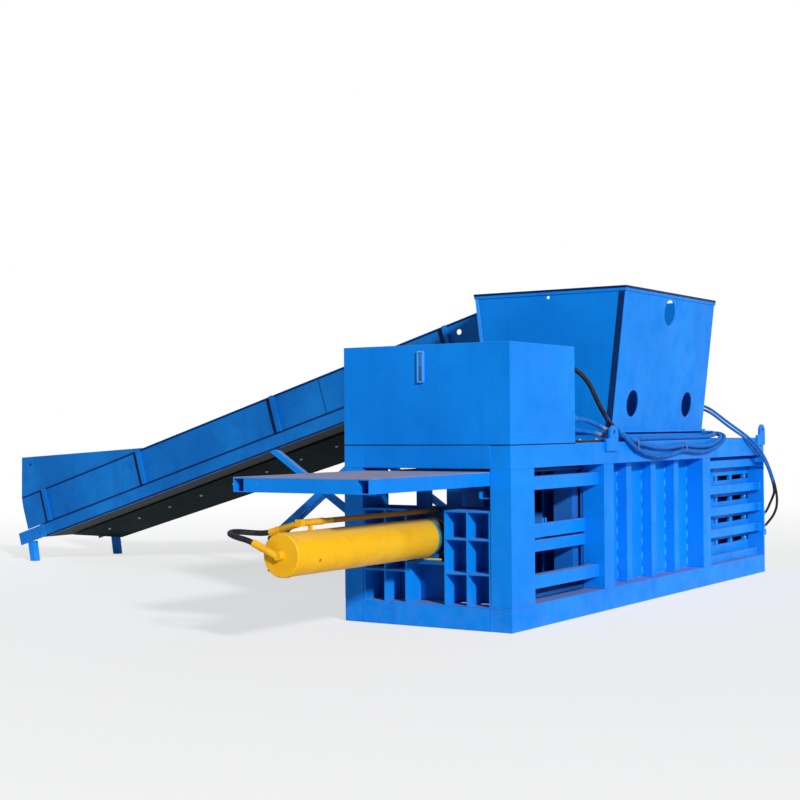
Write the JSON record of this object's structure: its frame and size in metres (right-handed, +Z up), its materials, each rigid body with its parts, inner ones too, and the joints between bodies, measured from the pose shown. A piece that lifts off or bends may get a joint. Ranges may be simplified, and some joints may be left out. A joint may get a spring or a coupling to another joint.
{
  "type": "recycling baler",
  "caption": "Horizontal recycling baler with hydraulic ram, feed hopper, oil tank, slotted strapping bay, end door and an inclined cleated belt conveyor.",
  "frame": {"origin": "underside of the press frame at the centre of its footprint, on the floor", "axes": "+X along the press towards the outlet, +Y towards the feed conveyor's low end, +Z up"},
  "size_m": [7.6392, 8.1536, 2.75],
  "materials": {
    "blue_press_paint": "gloss paint, faded and dusty",
    "blue_ram_paint": "worn paint",
    "blue_conveyor_paint": "satin paint, faded",
    "dusty_deck": "dusty",
    "worn_steel": "worn bare steel",
    "chromed_rod": "polished",
    "yellow_cylinder_paint": "gloss paint",
    "grey_cylinder_paint": "satin paint",
    "yellow_pipe": "dull",
    "black_hose_rubber": "satin",
    "tie_bands": "dull",
    "pump_paint": "satin paint",
    "valve_steel": "plain",
    "gauge_body": "matt",
    "breather_cap": "plain",
    "belt_rubber": "matt, dusty",
    "bearing_iron": "painted"
  },
  "bodies": {
    "frame": {"belt_slider_bed": "worn_steel", "bottom_beams": "blue_press_paint", "bulkhead_rib_grids": "blue_press_paint", "cap_hose": "black_hose_rubber", "cap_port_fitting": "yellow_pipe", "chamber_floor": "worn_steel", "chamber_roof": "blue_press_paint", "conveyor_belt": "belt_rubber", "conveyor_chassis": "blue_conveyor_paint", "conveyor_gearmotor": "pump_paint", "conveyor_side_guards": "blue_conveyor_paint", "conveyor_supports": "blue_conveyor_paint", "conveyor_under_pan": "blue_conveyor_paint", "cylinder_barrel": "yellow_cylinder_paint", "cylinder_bulkhead": "blue_press_paint", "cylinder_end_cap": "yellow_cylinder_paint", "cylinder_gland": "grey_cylinder_paint", "cylinder_saddle": "blue_press_paint", "drum_bearings": "bearing_iron", "entry_window_bars": "blue_press_paint", "filler_breather": "breather_cap", "frame_posts": "blue_press_paint", "hinge_pins": "worn_steel", "hopper_collar": "blue_press_paint", "hopper_end_walls": "blue_press_paint", "hopper_rim": "blue_press_paint", "hopper_side_walls": "blue_press_paint", "hose_ties": "tie_bands", "hydraulic_pump": "pump_paint", "lifting_lugs": "blue_press_paint", "lock_cylinder": "grey_cylinder_paint", "lock_hoses": "black_hose_rubber", "middle_tie_bars": "blue_press_paint", "oil_level_gauge": "gauge_body", "oil_pipe": "yellow_pipe", "oil_tank": "blue_press_paint", "outer_strap_bars": "blue_press_paint", "outlet_brackets": "blue_press_paint", "platform_brackets": "blue_press_paint", "platform_deck": "dusty_deck", "platform_frame": "blue_press_paint", "pump_motor": "pump_paint", "side_hoses": "black_hose_rubber", "side_ribs": "blue_press_paint", "side_wall_plates": "blue_press_paint", "top_beams": "blue_press_paint", "valve_blocks": "valve_steel"},
    "ram": {"ram_face_plate": "blue_ram_paint", "ram_body": "blue_ram_paint", "ram_cover_plate": "blue_ram_paint", "ram_tail_beams": "blue_ram_paint", "piston": "worn_steel", "piston_rod": "chromed_rod"},
    "near_release": {"near_release_wall": "blue_press_paint"},
    "far_release": {"far_release_wall": "blue_press_paint"},
    "door": {"discharge_door": "blue_press_paint"},
    "lock": {"door_lock_bar": "blue_press_paint", "lock_cylinder_rod": "worn_steel"},
    "head_roller": {"head_drum": "worn_steel"},
    "tail_roller": {"tail_drum": "worn_steel"}
  },
  "joints": [
    {"name": "ram_stroke", "type": "slide", "parent": "frame", "child": "ram", "axis": [1, 0, 0], "range_m": [0, 1.7]},
    {"name": "near_release_hinge", "type": "hinge", "parent": "frame", "child": "near_release", "pos_m": [1.698, -0.575, 0.7], "axis": [0, 0, -1], "range_deg": [0, 2.5]},
    {"name": "far_release_hinge", "type": "hinge", "parent": "frame", "child": "far_release", "pos_m": [1.698, 0.575, 0.7], "axis": [0, 0, 1], "range_deg": [0, 2.5]},
    {"name": "door_hinge", "type": "hinge", "parent": "frame", "child": "door", "pos_m": [2.81, 0.685, 0.7], "axis": [0, 0, 1], "range_deg": [0, 100]},
    {"name": "lock_lift", "type": "slide", "parent": "frame", "child": "lock", "axis": [0, 0, 1], "range_m": [0, 0.08]},
    {"name": "head_drum_turn", "type": "hinge", "parent": "frame", "child": "head_roller", "pos_m": [0.495, 0.61188, 2.28312], "axis": [1, 0, 0], "continuous": true},
    {"name": "tail_drum_turn", "type": "hinge", "parent": "frame", "child": "tail_roller", "pos_m": [0.495, 7.00879, 0.35908], "axis": [1, 0, 0], "continuous": true}
  ],
  "couplings": [
    {"joint": "tail_drum_turn", "follows": "head_drum_turn", "ratio": 1}
  ]
}
